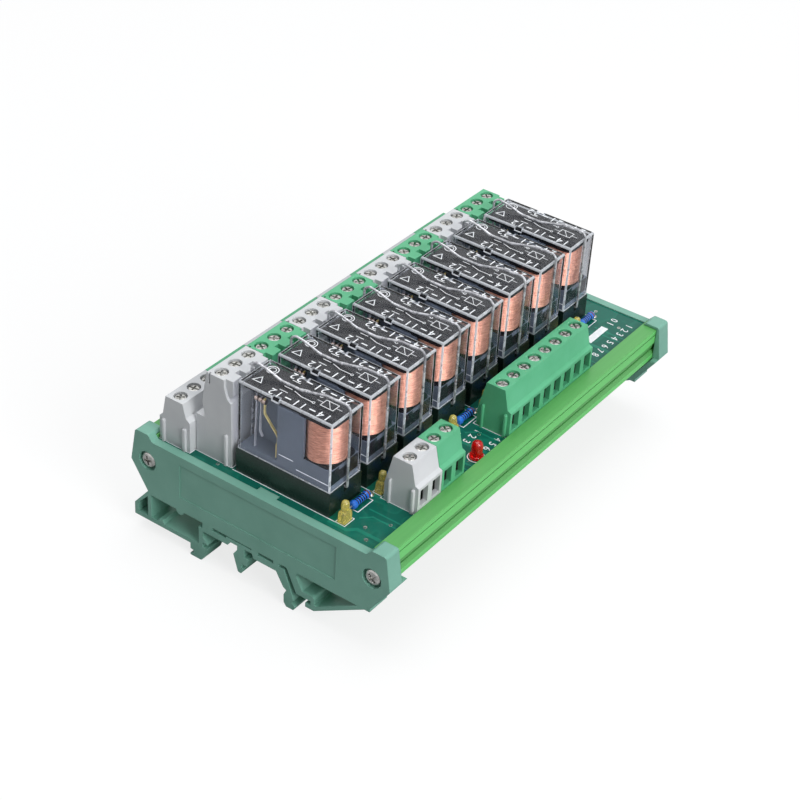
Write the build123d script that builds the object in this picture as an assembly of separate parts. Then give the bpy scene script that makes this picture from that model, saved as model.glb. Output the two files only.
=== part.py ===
from build123d import *
import os

# Relay module for a control cabinet: eight plug-in relays and their screw terminals on a
# circuit board. The board slides into an extruded carrier, and two moulded end plates close
# the carrier and clip the module onto a 35 mm mounting rail. X runs along the module, Y runs
# across it with the output terminals at +Y, and Z is up from the underside of the feet.
# The origin is at the middle of that underside. All sizes are in millimetres.

# Channels along X: each has one relay, one upper and one lower terminal block
channel_count = 8
terminal_pitch = 5.08
poles_per_channel = 3
near_margin = 5.6
far_margin = 7.38
lower_row_gap = 1.0

# Rows across the board, from its output edge to its input edge
board_edge_margin = 1.6
lower_block_depth = 10.1
row_gap = 0.2
upper_block_depth = 11.7
clip_room = 1.7
relay_length = 29.0
small_parts_room = 5.9
input_block_depth = 10.2

# Mounting rail
rail_width = 35.0
rail_thickness = 1.0
rail_clearance = 0.3
rail_centre_y = -0.25

# Heights that add up from the feet to the board
rail_seat = 6.0
band_rise = 3.85
band_height = 2.8
chin_height = 0.95
carrier_lift = 7.4
carrier_depth = 7.1
board_thickness = 1.6

# End plates
plate_web = 2.4
plate_flange = 1.5
foot_depth = 7.2
foot_wall = 1.3
foot_inset = 0.75
hook_bar_z = 3.9
hook_tooth_reach = 4.1
tongue_y = 5.85
latch_y = -5.8
block_depth = 5.05
block_width = 4.2
block_rise = 2.1
block_slope = 1.6
web_rise = 0.35
plate_overhang = 2.4
plate_top_overhang = 0.8
plate_taper = 5.5
widest_rise = 0.75
field_side_margin = 14.0
field_lower_margin = 4.35
field_upper_margin = 2.7
field_depth = 0.25
tab_low_y = -4.4
tab_high_y = 1.6
tab_reach = 1.4

# Extruded carrier
carrier_wall = 3.0
carrier_floor = 1.8
carrier_column = 5.8
lip_height = 1.1
slot_clearance = 0.1
groove_depth = 1.5
step_depth = 0.7
pocket_clearance = 0.15

# Screws that hold the end plates to the carrier
plate_screw_inset = 3.14
plate_screw_rise = 2.4
screw_head_diameter = 4.7
screw_head_height = 1.3
screw_recess_diameter = 5.6
screw_recess_depth = 1.4
screw_shank_diameter = 2.9
screw_shank_length = 9.0
screw_clearance = 0.1

# Relays and their sockets
relay_width = 12.4
socket_height = 7.0
socket_border = 0.2
socket_slot_width = 1.4
socket_slot_depth = 2.0
socket_slot_height = 2.4
cover_height = 20.4
cover_wall = 0.6
cover_clearance = 0.1
cover_corner = 0.7
cover_notch_width = 2.3
cover_notch_height = 1.3
cover_notch_inset = 18.6
relay_base_height = 1.6
pedestal_height = 4.6
coil_side_gap = 0.3
coil_front_gap = 0.2
barrier_gap = 0.7
barrier_thickness = 4.8
barrier_room = 1.6
cheek_thickness = 0.7
partition_thickness = 0.8
iron_thickness = 1.1
iron_room = 1.2
spring_thickness = 0.35
spring_width = 1.4
spring_spacing = 2.8
spring_offset = 3.6
closed_contact_offset = 5.0
open_contact_offset = 7.0
clip_wire = 0.8
clip_gap = 0.05

# Terminal blocks
block_gap = 0.1
upper_block_height = 25.4
lower_block_height = 14.0
input_block_height = 14.2
upper_screw_inset = 5.5
lower_screw_inset = 5.2
small_block_poles = 4
large_block_poles = 8
small_block_offset = 0.95
large_block_offset = 3.63
rib_proud = 0.7
rib_clearance = 0.1
upper_rib_height = 9.4
lower_rib_height = 7.2
bulge_width = 3.4
bulge_height = 5.6
cheek_slit_width = 0.5
cheek_slit_height = 3.2
cheek_slit_depth = 0.6
cheek_slit_inset = 7.1
wire_entry_width = 3.2
wire_entry_height = 5.0
wire_entry_depth = 6.5
low_entry_rise = 2.0
high_entry_drop = 8.6
well_diameter = 4.0
well_depth = 3.0
terminal_screw_diameter = 3.5
terminal_screw_height = 1.8

# Small parts on the board
resistor_length = 7.0
resistor_diameter = 2.3
resistor_lead = 0.6
resistor_lead_reach = 1.1
small_part_inset = 2.6
led_offset_x = 1.55
led_base_length = 3.3
led_base_width = 2.3
led_base_height = 3.2
led_dome_diameter = 2.1
led_height = 6.2
red_led_shift = 1.65
red_led_edge_gap = 0.2
red_led_diameter = 3.0
red_led_flange = 3.8
red_led_flange_height = 1.0
red_led_height = 5.2

# How many flat sides stand for a round outline on what repeats
few_sides = 8
head_sides = 12
coil_sides = 14
wire_sides = 6

# Positions worked out from those above
channel_pitch = terminal_pitch * poles_per_channel
body_length = near_margin + channel_count * channel_pitch + far_margin
board_length = body_length - 2 * plate_web
upper_start = near_margin
lower_start = plate_web + lower_row_gap
small_block_start = near_margin + small_block_offset * channel_pitch
large_block_start = near_margin + large_block_offset * channel_pitch

board_width = (
    2 * board_edge_margin
    + lower_block_depth
    + row_gap
    + upper_block_depth
    + clip_room
    + relay_length
    + small_parts_room
    + input_block_depth
)
lower_outer_y = board_width / 2 - board_edge_margin
lower_inner_y = lower_outer_y - lower_block_depth
upper_outer_y = lower_inner_y - row_gap
upper_inner_y = upper_outer_y - upper_block_depth
relay_back_y = upper_inner_y - clip_room
relay_front_y = relay_back_y - relay_length
input_inner_y = relay_front_y - small_parts_room
input_outer_y = input_inner_y - input_block_depth
small_part_y = relay_front_y - small_part_inset

carrier_half = board_width / 2 + carrier_wall
lip_reach = board_edge_margin - slot_clearance
plate_widest_half = carrier_half + plate_overhang
plate_top_half = carrier_half + plate_top_overhang
plate_lower_half = plate_widest_half - plate_taper
block_inner_half = plate_top_half - block_width
block_slope_half = block_inner_half - block_slope
plate_screw_y = carrier_half - plate_screw_inset
hook_side_y = rail_centre_y + (rail_width + rail_clearance) / 2
latch_side_y = rail_centre_y - (rail_width + rail_clearance) / 2

rail_slit_bottom = rail_seat - rail_thickness - rail_clearance
band_bottom = rail_seat + band_rise
web_bottom = band_bottom + band_height
plate_lower_z = web_bottom + chin_height
carrier_bottom = plate_lower_z + carrier_lift
board_bottom = carrier_bottom + carrier_depth
board_top = board_bottom + board_thickness
plate_widest_z = carrier_bottom + widest_rise
plate_screw_z = carrier_bottom + plate_screw_rise
block_top = board_top + block_rise
web_top = board_top + web_rise
carrier_top = board_top + slot_clearance + lip_height
socket_top = board_top + socket_height
cover_bottom = socket_top + cover_clearance
cover_top = cover_bottom + cover_height
base_top = socket_top + relay_base_height
coil_bottom = base_top + pedestal_height
coil_top = cover_top - cover_wall - iron_room - iron_thickness

coil_diameter = relay_width - 2 * cover_wall - 2 * coil_side_gap
coil_centre_y = relay_front_y + cover_wall + coil_front_gap + coil_diameter / 2
barrier_front_y = coil_centre_y + coil_diameter / 2 + barrier_gap
barrier_back_y = barrier_front_y + barrier_thickness
cheek_front_y = coil_centre_y + coil_diameter / 4
frame_half_width = relay_width / 2 - cover_wall - cover_clearance
frame_front_y = relay_front_y + cover_wall + cover_clearance
frame_back_y = relay_back_y - cover_wall - cover_clearance


def along(distance):
    """X of a point given by its distance from the near end plate's outer face."""
    return distance - body_length / 2


def outline(*corners):
    """Face inside (across, up) corners, where a third number rounds the corner."""
    points = [corner[:2] for corner in corners]
    radii = [corner[2] if len(corner) == 3 else 0 for corner in corners]
    return make_face(FilletPolyline(*points, radius=radii, close=True))


def rectangle(low_a, low_b, high_a, high_b):
    """Rectangle between two opposite corners."""
    centre = Pos((low_a + high_a) / 2, (low_b + high_b) / 2)
    return centre * Rectangle(high_a - low_a, high_b - low_b)


def many_sided(diameter, sides=few_sides):
    """Polygon this far across its flats, for a round outline that repeats many times."""
    return RegularPolygon(diameter / 2, sides, major_radius=False, rotation=180 / sides)


def both_sides(half):
    """A section's half together with its mirror image across the module's middle."""
    return half + mirror(half, about=Plane.YZ)


def run_along(section, start, length, up=0.0):
    """Solid made by running a Y-Z section along X from a distance on the module."""
    plane = Plane(origin=(along(start), 0, up), x_dir=(0, 1, 0), z_dir=(1, 0, 0))
    return extrude(plane * section, amount=length, dir=(1, 0, 0))


def rise(section, x, y, low_z, height, taper=0.0):
    """Solid that rises from a level, from a section laid flat with its middle at x, y."""
    return extrude(Pos(x, y, low_z) * section, amount=height, dir=(0, 0, 1), taper=taper)


def block_between(low, high):
    """Rectangular solid between two opposite corners."""
    size = [b - a for a, b in zip(low, high)]
    centre = [(a + b) / 2 for a, b in zip(low, high)]
    return Pos(*centre) * Box(*size)


def wire(route, section):
    """Wire with this section bent along a route, with mitred corners."""
    path = Polyline(*route)
    start = Plane(path @ 0, z_dir=path % 0)
    return sweep(start * section, path=path, transition=Transition.RIGHT)


# End plates

def plate_outline():
    """Outline of the end plate above its feet."""
    half = outline(
        (0, web_bottom),
        (plate_lower_half, web_bottom),
        (plate_lower_half, plate_lower_z),
        (plate_widest_half, plate_widest_z),
        (plate_top_half, block_top, 0.9),
        (block_inner_half, block_top, 0.8),
        (block_slope_half, web_top),
        (0, web_top),
    )
    return both_sides(half)


def hook_foot():
    """Foot on the output side, with the fixed hook that takes one edge of the rail."""
    outer_y = plate_widest_half - foot_inset
    tooth_y = hook_side_y + hook_tooth_reach
    tooth_root_y = tooth_y - 1.2
    jaw_y = hook_side_y - 1.6
    floor_z = hook_bar_z + foot_wall
    top_z = web_bottom + plate_flange
    foot = outline(
        (plate_lower_half, plate_lower_z),
        (outer_y, hook_bar_z + 3.8),
        (outer_y, hook_bar_z),
        (tooth_y, hook_bar_z),
        (tooth_y, 2.1),
        (tooth_root_y, 1.9),
        (tooth_root_y, 1.3),
        (tooth_y, 0.6),
        (tooth_y, 0.0),
        (jaw_y + 1.8, 0.0, 1.0),
        (jaw_y, rail_slit_bottom),
        (hook_side_y, rail_slit_bottom),
        (hook_side_y, rail_seat),
        (jaw_y - 0.2, rail_seat),
        (hook_side_y - 0.1, rail_seat + 2.1),
        (hook_side_y - 0.1, top_z),
        (plate_lower_half, top_z),
    )
    window_y = plate_lower_half - 1.0
    window = outline(
        (window_y, web_bottom),
        (window_y, floor_z),
        (window_y - 1.9, floor_z),
        (window_y - 2.6, floor_z + 0.9),
        (window_y - 3.8, floor_z + 0.9),
        (window_y - 4.5, floor_z),
        (hook_side_y + foot_wall, floor_z),
        (hook_side_y + foot_wall, band_bottom + 1.0),
        (hook_side_y - 1.0, band_bottom + 1.0, 0.6),
        (hook_side_y - 1.0, web_bottom),
    )
    lever_window = outline(
        (plate_lower_half + 0.2, floor_z),
        (outer_y - foot_wall, floor_z),
        (outer_y - foot_wall, hook_bar_z + 4.3),
        (plate_lower_half + 0.2, web_bottom - 0.9),
    )
    nub = Pos(plate_lower_half - 10.9, web_bottom) * many_sided(2.4)
    return foot - window - lever_window + nub


def spring_band():
    """Band under the web with the slots that let the middle tongue flex."""
    band = rectangle(latch_y - 1.9, band_bottom, hook_side_y, web_bottom + plate_flange)
    slot_z = web_bottom - 0.95
    long_slot = rectangle(tongue_y + 3.75, slot_z, tongue_y + 8.25, web_bottom)
    thin_slit = rectangle(1.2, web_bottom - 0.45, tongue_y + 3.85, web_bottom)
    short_slot = rectangle(latch_y, slot_z, latch_y + 5.0, web_bottom)
    notch = outline(
        (tongue_y + 3.15, band_bottom),
        (tongue_y + 2.15, band_bottom + 1.35),
        (1.1, band_bottom + 1.35),
        (0.4, band_bottom),
    )
    return band - long_slot - thin_slit - short_slot - notch


def middle_tongue():
    """Arrow-shaped tongue that presses on the middle of the rail."""
    root_z = band_bottom + 1.4
    neck_z = band_bottom - 1.4
    nose_z = rail_slit_bottom - 1.9
    return outline(
        (tongue_y, root_z),
        (tongue_y, band_bottom),
        (tongue_y + 1.25, neck_z - 0.45, 0.4),
        (tongue_y - 0.35, nose_z, 0.7),
        (tongue_y - 1.35, nose_z),
        (tongue_y - 1.95, rail_slit_bottom),
        (tongue_y - 1.35, rail_slit_bottom),
        (tongue_y - 1.35, rail_seat),
        (tongue_y - 3.05, rail_seat),
        (tongue_y - 3.65, neck_z),
        (tongue_y - 2.25, neck_z),
        (tongue_y - 2.25, root_z),
    )


def latch_arm():
    """Springy arm whose nose snaps under the other edge of the rail."""
    hip_z = web_bottom - 1.05
    root_z = web_bottom - 0.5
    return outline(
        (latch_y, band_bottom),
        (latch_y - 1.0, band_bottom),
        (latch_y - 3.4, rail_seat - 0.1, 0.8),
        (latch_y - 4.4, rail_seat - 0.65),
        (latch_y - 3.6, rail_slit_bottom - 1.1, 0.6),
        (latch_y - 3.7, 1.1, 0.8),
        (latch_y - 4.5, 0.0),
        (latch_y - 6.8, 0.0),
        (latch_y - 7.3, 1.3),
        (latch_y - 6.1, 2.0),
        (latch_y - 6.8, rail_slit_bottom - 1.6),
        (latch_y - 5.9, rail_seat - 0.5),
        (latch_y - 3.5, hip_z),
        (latch_y - 1.9, hip_z),
        (latch_y - 1.9, root_z),
        (latch_y, root_z),
    )


def latch_foot():
    """Foot on the input side: the seat beside the latch and its three-cornered window."""
    nose_y = latch_side_y + foot_wall + 0.3
    nose_z = hook_bar_z - 0.5
    wall_y = latch_side_y - 1.1
    sill_z = rail_seat + 1.7
    foot = outline(
        (-plate_lower_half, plate_lower_z),
        (wall_y, nose_z),
        (nose_y, nose_z),
        (nose_y, rail_slit_bottom),
        (latch_side_y, rail_slit_bottom),
        (latch_side_y, rail_seat),
        (latch_y - 7.6, rail_seat),
        (latch_y - 4.3, web_bottom),
        (latch_y - 4.3, web_bottom + plate_flange),
        (-plate_lower_half, web_bottom + plate_flange),
    )
    window = outline(
        (latch_y - 7.8, web_bottom),
        (latch_y - 7.4, web_bottom - 1.25),
        (latch_y - 9.4, sill_z),
        (wall_y, sill_z, 0.8),
        (wall_y, rail_slit_bottom + 0.6),
        (wall_y - 0.8, rail_slit_bottom + 0.5),
        (-plate_lower_half + 3.9, web_bottom),
    )
    return foot - window


def end_plate():
    """Near end plate: web, stiffening rim, carrier pockets and the rail foot."""
    whole = plate_outline()
    below_widest = rectangle(-plate_widest_half, 0, plate_widest_half, plate_widest_z)
    rim = (whole - offset(whole, amount=-plate_flange, kind=Kind.INTERSECTION)) & below_widest
    foot = hook_foot() + spring_band() + middle_tongue() + latch_arm() + latch_foot()
    pocket_half = carrier_half + pocket_clearance
    pocket_bottom = carrier_bottom - pocket_clearance
    pocket = rectangle(-pocket_half, pocket_bottom, pocket_half, carrier_top + pocket_clearance)
    block_strip = rectangle(
        block_slope_half, pocket_bottom - plate_flange, plate_widest_half, block_top
    )
    blocks = (whole & both_sides(block_strip)) - pocket
    plate = run_along(whole, 0, plate_web) + run_along(rim, 0, foot_depth)
    plate += run_along(foot, 0, foot_depth)
    plate += run_along(blocks, 0, block_depth)
    plate += block_between(
        (along(plate_web), tab_low_y, board_top + slot_clearance),
        (along(plate_web + tab_reach), tab_high_y, web_top),
    )
    field_half = carrier_half - field_side_margin
    field_low = web_bottom + field_lower_margin
    field = rectangle(-field_half, field_low, field_half, web_top - field_upper_margin)
    plate -= run_along(field, 0, field_depth)
    for y in (-plate_screw_y, plate_screw_y):
        centre = Pos(y, plate_screw_z)
        hole = centre * many_sided(screw_shank_diameter + 2 * screw_clearance)
        plate -= run_along(hole, 0, plate_web)
        plate -= run_along(centre * many_sided(screw_recess_diameter, head_sides), 0, screw_recess_depth)
    return plate


def end_plate_screws():
    """Pan-head screws of both end plates."""
    screws = []
    for y in (-plate_screw_y, plate_screw_y):
        centre = Pos(y, plate_screw_z)
        head_start = screw_recess_depth - screw_head_height
        head = centre * many_sided(screw_head_diameter, head_sides)
        shank = centre * many_sided(screw_shank_diameter)
        screw = run_along(head, head_start, screw_head_height)
        screw += run_along(shank, screw_recess_depth, screw_shank_length)
        screws += [screw, mirror(screw, about=Plane.YZ)]
    return screws


# Carrier and board

def carrier():
    """Extruded carrier with board slots, grooved sides and screw channels."""
    slot_top = board_top + slot_clearance
    groove_z = carrier_bottom + 4.2
    groove_half = carrier_half - groove_depth
    step_half = carrier_half - step_depth
    inner_half = carrier_half - carrier_column
    floor_z = carrier_bottom + carrier_floor
    slot_half = board_width / 2 + slot_clearance
    lip_half = board_width / 2 - lip_reach
    half = outline(
        (0, carrier_bottom),
        (carrier_half, carrier_bottom),
        (carrier_half, groove_z - 2.0),
        (groove_half, groove_z - 0.2),
        (groove_half, groove_z + 0.2),
        (carrier_half - 1.0, groove_z + 0.4),
        (carrier_half, groove_z + 2.0),
        (carrier_half, board_bottom + 1.0),
        (step_half, board_bottom + 1.0),
        (step_half, slot_top - 0.4),
        (carrier_half, slot_top - 0.4),
        (carrier_half, carrier_top),
        (lip_half, carrier_top),
        (lip_half, slot_top),
        (slot_half, slot_top),
        (slot_half, board_bottom),
        (inner_half, board_bottom),
        (inner_half, floor_z, 0.5),
        (0, floor_z),
    )
    bore = many_sided(screw_shank_diameter + 2 * screw_clearance)
    mouth_z = plate_screw_z - screw_clearance
    mouth = rectangle(inner_half, mouth_z, plate_screw_y, mouth_z + 1.0)
    cut = Pos(plate_screw_y, plate_screw_z) * bore + mouth
    return run_along(both_sides(half - cut), plate_web, board_length)


def circuit_board():
    """Board that slides into the carrier's slots."""
    section = rectangle(-board_width / 2, board_bottom, board_width / 2, board_top)
    return run_along(section, plate_web, board_length)


# Terminal blocks

def pole_x(start, pole):
    """X of the middle of a pole in a block that begins at a distance on the module."""
    return along(start + (pole + 0.5) * terminal_pitch)


def finish_block(section, start, poles, screw_y, height, ribs, outer_y, entry_low):
    """Block run to length, with its joining ribs, screw wells and wire entries."""
    length = poles * terminal_pitch - block_gap
    body = run_along(section, start, length, board_top)
    for low_y, high_y, rib_height in ribs:
        rib = rectangle(low_y, 0, high_y, rib_height) & section
        grown = rectangle(low_y - rib_clearance, 0, high_y + rib_clearance, rib_height)
        depth = rib_proud + rib_clearance
        body -= run_along(grown & section, start + length - depth, depth, board_top)
        body += run_along(rib, start - rib_proud, rib_proud, board_top)
    inward = -wire_entry_depth if outer_y > screw_y else wire_entry_depth
    low_y, high_y = sorted((outer_y, outer_y + inward))
    low_z = board_top + entry_low
    well = many_sided(well_diameter)
    for pole in range(poles):
        x = pole_x(start, pole)
        body -= rise(well, x, screw_y, board_top + height - well_depth, well_depth)
        body -= block_between(
            (x - wire_entry_width / 2, low_y, low_z),
            (x + wire_entry_width / 2, high_y, low_z + wire_entry_height),
        )
    return body


def upper_block(channel):
    """Tall three-pole block whose wires enter above the lower row."""
    top = upper_block_height
    inner_y = upper_inner_y
    head_y = inner_y + 2.7
    ledge_y = upper_outer_y - 2.8
    shoulder = top - 6.2
    section = outline(
        (inner_y, 0),
        (inner_y + 0.4, shoulder),
        (inner_y + 1.7, shoulder + 1.0),
        (head_y, top - 2.2),
        (head_y, top),
        (upper_outer_y - 3.4, top),
        (upper_outer_y - 2.0, top - 9.4),
        (ledge_y, top - 13.1),
        (ledge_y, top - 13.9),
        (upper_outer_y, top - 13.9),
        (upper_outer_y, 0),
    )
    ribs = [(inner_y + 1.5, inner_y + 2.6, upper_rib_height)]
    start = upper_start + channel * channel_pitch
    block = finish_block(
        section,
        start,
        poles_per_channel,
        inner_y + upper_screw_inset,
        top,
        ribs,
        upper_outer_y,
        top - high_entry_drop,
    )
    bulge = outline(
        (head_y, top),
        (inner_y + 0.5, top),
        (inner_y + 0.5, top - bulge_height + 1.2),
        (inner_y + 1.7, top - bulge_height),
        (head_y, top - bulge_height),
    )
    for pole in range(poles_per_channel):
        bulge_start = start + (pole + 0.5) * terminal_pitch - bulge_width / 2
        block += run_along(bulge, bulge_start, bulge_width, board_top)
    slit_y = inner_y + cheek_slit_inset
    slit = rectangle(slit_y, top - cheek_slit_height, slit_y + cheek_slit_width, top)
    return block - run_along(slit, start, cheek_slit_depth, board_top)


def lower_block(channel):
    """Low three-pole block at the board's output edge."""
    top = lower_block_height
    section = outline(
        (lower_inner_y, 0),
        (lower_inner_y, top - 5.0),
        (lower_inner_y + 1.3, top - 4.0),
        (lower_inner_y + 2.4, top),
        (lower_outer_y - 2.1, top),
        (lower_outer_y - 1.1, top - 5.8),
        (lower_outer_y, top - 6.8),
        (lower_outer_y, 0),
    )
    ribs = [
        (lower_inner_y + 1.3, lower_inner_y + 2.9, lower_rib_height),
        (lower_outer_y - 1.8, lower_outer_y - 0.4, lower_rib_height),
    ]
    return finish_block(
        section,
        lower_start + channel * channel_pitch,
        poles_per_channel,
        lower_inner_y + lower_screw_inset,
        top,
        ribs,
        lower_outer_y,
        low_entry_rise,
    )


def input_block(start, poles):
    """Low block at the board's input edge."""
    top = input_block_height
    section = outline(
        (input_inner_y, 0),
        (input_inner_y, top - 9.0),
        (input_inner_y - 2.1, top),
        (input_outer_y + 2.4, top),
        (input_outer_y + 1.1, top - 5.8),
        (input_outer_y, top - 6.3),
        (input_outer_y, 0),
    )
    ribs = [
        (input_inner_y - 2.1, input_inner_y - 1.0, lower_rib_height),
        (input_outer_y + 1.1, input_outer_y + 2.4, lower_rib_height),
    ]
    screw_y = input_inner_y - lower_screw_inset
    return finish_block(section, start, poles, screw_y, top, ribs, input_outer_y, low_entry_rise)


def terminal_screws(start, poles, screw_y, height):
    """Clamping screws of a row of poles, one in each well."""
    seat = board_top + height - well_depth
    section = many_sided(terminal_screw_diameter)
    return [
        rise(section, pole_x(start, pole), screw_y, seat, terminal_screw_height)
        for pole in range(poles)
    ]


# Relays

def relay_x(channel):
    """X of a relay's middle plane."""
    return along(near_margin + relay_width / 2 + channel * channel_pitch)


def relay_part(channel, half_width, low_y, high_y, low_z, high_z):
    """Rectangular solid centred across a relay's width."""
    x = relay_x(channel)
    return block_between((x - half_width, low_y, low_z), (x + half_width, high_y, high_z))


def relay_socket(channel):
    """Socket with a slot at each end for the wire that holds the relay down."""
    half_width = relay_width / 2 + socket_border
    front_y = relay_front_y - socket_border
    back_y = relay_back_y + socket_border
    slot_z = socket_top - socket_slot_height
    slot_half = socket_slot_width / 2
    socket = relay_part(channel, half_width, front_y, back_y, board_top, socket_top)
    for low_y in (front_y, back_y - socket_slot_depth):
        high_y = low_y + socket_slot_depth
        socket -= relay_part(channel, slot_half, low_y, high_y, slot_z, socket_top)
    return socket


def relay_cover(channel):
    """Clear cover: a thin box open at the bottom, with a vent notch in both top edges."""
    half = relay_width / 2
    inner = half - cover_wall
    inner_top = cover_top - cover_wall
    cover = relay_part(channel, half, relay_front_y, relay_back_y, cover_bottom, cover_top)
    cover = chamfer(cover.edges().filter_by(Axis.Z), cover_corner)
    cover = chamfer(cover.faces().sort_by(Axis.Z)[-1].edges(), cover_wall / 2)
    front_y = relay_front_y + cover_wall
    back_y = relay_back_y - cover_wall
    cover -= relay_part(channel, inner, front_y, back_y, cover_bottom, inner_top)
    notch_y = relay_front_y + cover_notch_inset
    notch_end_y = notch_y - cover_notch_width
    notch_z = cover_top - cover_notch_height
    notch = relay_part(channel, half, notch_end_y, notch_y, notch_z, cover_top)
    bridge = relay_part(channel, inner - cover_wall, notch_end_y, notch_y, notch_z, cover_top)
    return cover - (notch - bridge)


def relay_frame(channel):
    """Moulded base, coil pedestal, wall behind the coil and partition between the contacts."""
    half = frame_half_width
    wall_top = cover_top - cover_wall - barrier_room
    frame = relay_part(channel, half, frame_front_y, frame_back_y, socket_top, base_top)
    frame += relay_part(channel, half, frame_front_y, barrier_front_y, base_top, coil_bottom)
    frame += relay_part(channel, half, barrier_front_y, barrier_back_y, base_top, wall_top)
    cheeks = relay_part(channel, half, cheek_front_y, barrier_front_y, coil_bottom, wall_top)
    cheeks -= relay_part(
        channel, half - cheek_thickness, cheek_front_y, barrier_front_y, coil_bottom, wall_top
    )
    partition = partition_thickness / 2
    frame += relay_part(channel, partition, barrier_back_y, frame_back_y, base_top, wall_top)
    return frame + cheeks


def relay_coil(channel):
    """Copper winding on the pedestal, with its axis upright."""
    section = many_sided(coil_diameter, coil_sides)
    return rise(section, relay_x(channel), coil_centre_y, coil_bottom, coil_top - coil_bottom)


def relay_armature(channel):
    """Iron plate over the coil that the coil pulls down."""
    half = frame_half_width - cheek_thickness - cover_clearance
    front_y = coil_centre_y - coil_diameter / 2
    back_y = barrier_front_y - cover_clearance
    return relay_part(channel, half, front_y, back_y, coil_top, coil_top + iron_thickness)


def relay_contacts(channel):
    """Contact springs behind the wall: the moving one and two fixed ones, on each side."""
    foot_z = base_top - board_top
    tip_z = coil_top - board_top - 0.4
    spring_height = tip_z - foot_z
    low_bend_z = foot_z + 0.42 * spring_height
    high_bend_z = foot_z + 0.68 * spring_height
    paths = [
        [(0, foot_z), (0, low_bend_z), (spring_offset, high_bend_z), (spring_offset, tip_z)],
        [(closed_contact_offset, foot_z), (closed_contact_offset, tip_z)],
        [(open_contact_offset, foot_z), (open_contact_offset, tip_z + 0.8)],
    ]
    half = spring_thickness / 2
    first_y = barrier_back_y + 1.0
    springs = []
    for side in (-1, 1):
        start_x = relay_x(channel) + side * spring_spacing - spring_width / 2
        for path in paths:
            left = [(first_y + y - half, z) for y, z in path]
            right = [(first_y + y + half, z) for y, z in reversed(path)]
            face = make_face(Polyline(*left, *right, close=True))
            springs.append(run_along(face, start_x + body_length / 2, spring_width, board_top))
    return springs


def hold_down_clip(channel):
    """Bent wire from one end of the socket over the cover to the other end."""
    radius = clip_wire / 2
    rest = cover_top + radius + clip_gap
    back_y = relay_back_y + socket_border + radius + clip_gap
    front_y = relay_front_y - socket_border - radius - clip_gap
    hole_z = socket_top - socket_slot_height / 2
    route = [
        (back_y - 1.6, hole_z),
        (back_y, hole_z),
        (back_y, rest + 0.7),
        (relay_back_y - 0.6, rest + 1.8),
        (relay_back_y - 3.9, rest + 1.4),
        (relay_back_y - 8.5, rest),
        (relay_front_y + 13.8, rest),
        (relay_front_y + 7.3, rest + 1.8),
        (relay_front_y + 0.7, rest + 2.1),
        (front_y, rest + 1.2),
        (front_y, hole_z),
        (front_y + 1.6, hole_z),
    ]
    x = relay_x(channel)
    return wire([(x, y, z) for y, z in route], many_sided(clip_wire, wire_sides))


# Small parts on the board

def led_x(channel):
    """X of a channel's indicator lamp."""
    return along(near_margin + led_offset_x + channel * channel_pitch)


def resistor(channel):
    """Resistor lying on the board between two lamps, with its leads bent down to it."""
    middle = led_x(channel) + channel_pitch / 2
    z = board_top + resistor_diameter / 2 + slot_clearance
    start = middle - resistor_length / 2 + body_length / 2
    body = run_along(
        Pos(small_part_y, z) * many_sided(resistor_diameter), start, resistor_length
    )
    reach = resistor_length / 2 + resistor_lead_reach
    route = [
        (middle - reach, board_top),
        (middle - reach, z),
        (middle + reach, z),
        (middle + reach, board_top),
    ]
    lead = Rectangle(resistor_lead, resistor_lead)
    return body + wire([(x, small_part_y, up) for x, up in route], lead)


def yellow_led(channel):
    """Indicator lamp with a square foot and a round dome."""
    x = led_x(channel)
    y = small_part_y - led_base_width / 2
    foot_top = board_top + led_base_height
    dome_height = led_dome_diameter / 2 * 0.8
    stem_height = led_height - led_base_height - dome_height
    section = many_sided(led_dome_diameter)
    lamp = rise(Rectangle(led_base_length, led_base_width), x, y, board_top, led_base_height)
    lamp += rise(section, x, y, foot_top, stem_height)
    return lamp + rise(section, x, y, foot_top + stem_height, dome_height, taper=35)


def red_led():
    """Round power lamp with a flange at its foot, in the gap between the input blocks."""
    small_block_end = small_block_start + small_block_poles * terminal_pitch
    x = along((small_block_end + large_block_start) / 2 - red_led_shift)
    lip_y = board_width / 2 - lip_reach
    y = red_led_flange / 2 + red_led_edge_gap - lip_y
    dome_height = red_led_diameter / 2 * 0.8
    stem_height = red_led_height - dome_height - red_led_flange_height
    stem_z = board_top + red_led_flange_height
    section = many_sided(red_led_diameter, coil_sides)
    flange = many_sided(red_led_flange, coil_sides)
    lamp = rise(flange, x, y, board_top, red_led_flange_height)
    lamp += rise(section, x, y, stem_z, stem_height)
    return lamp + rise(section, x, y, stem_z + stem_height, dome_height, taper=35)


# Pieces, each by the name of its node

output_poles = channel_count * poles_per_channel
half_small_block = small_block_poles // 2
green_half_start = small_block_start + half_small_block * terminal_pitch
upper_screw_y = upper_inner_y + upper_screw_inset
lower_screw_y = lower_inner_y + lower_screw_inset
input_screw_y = input_inner_y - lower_screw_inset

pieces = {
    "end_plate_near": end_plate(),
    "end_plate_far": mirror(end_plate(), about=Plane.YZ),
    "end_plate_screws": end_plate_screws(),
    "carrier_profile": carrier(),
    "circuit_board": circuit_board(),
    "input_block_grey": input_block(small_block_start, half_small_block),
    "input_block_green_short": input_block(green_half_start, half_small_block),
    "input_block_green_long": input_block(large_block_start, large_block_poles),
    "terminal_screws_upper": terminal_screws(
        upper_start, output_poles, upper_screw_y, upper_block_height
    ),
    "terminal_screws_lower": terminal_screws(
        lower_start, output_poles, lower_screw_y, lower_block_height
    ),
    "terminal_screws_input": [
        *terminal_screws(small_block_start, small_block_poles, input_screw_y, input_block_height),
        *terminal_screws(large_block_start, large_block_poles, input_screw_y, input_block_height),
    ],
    "red_led": red_led(),
}

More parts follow.
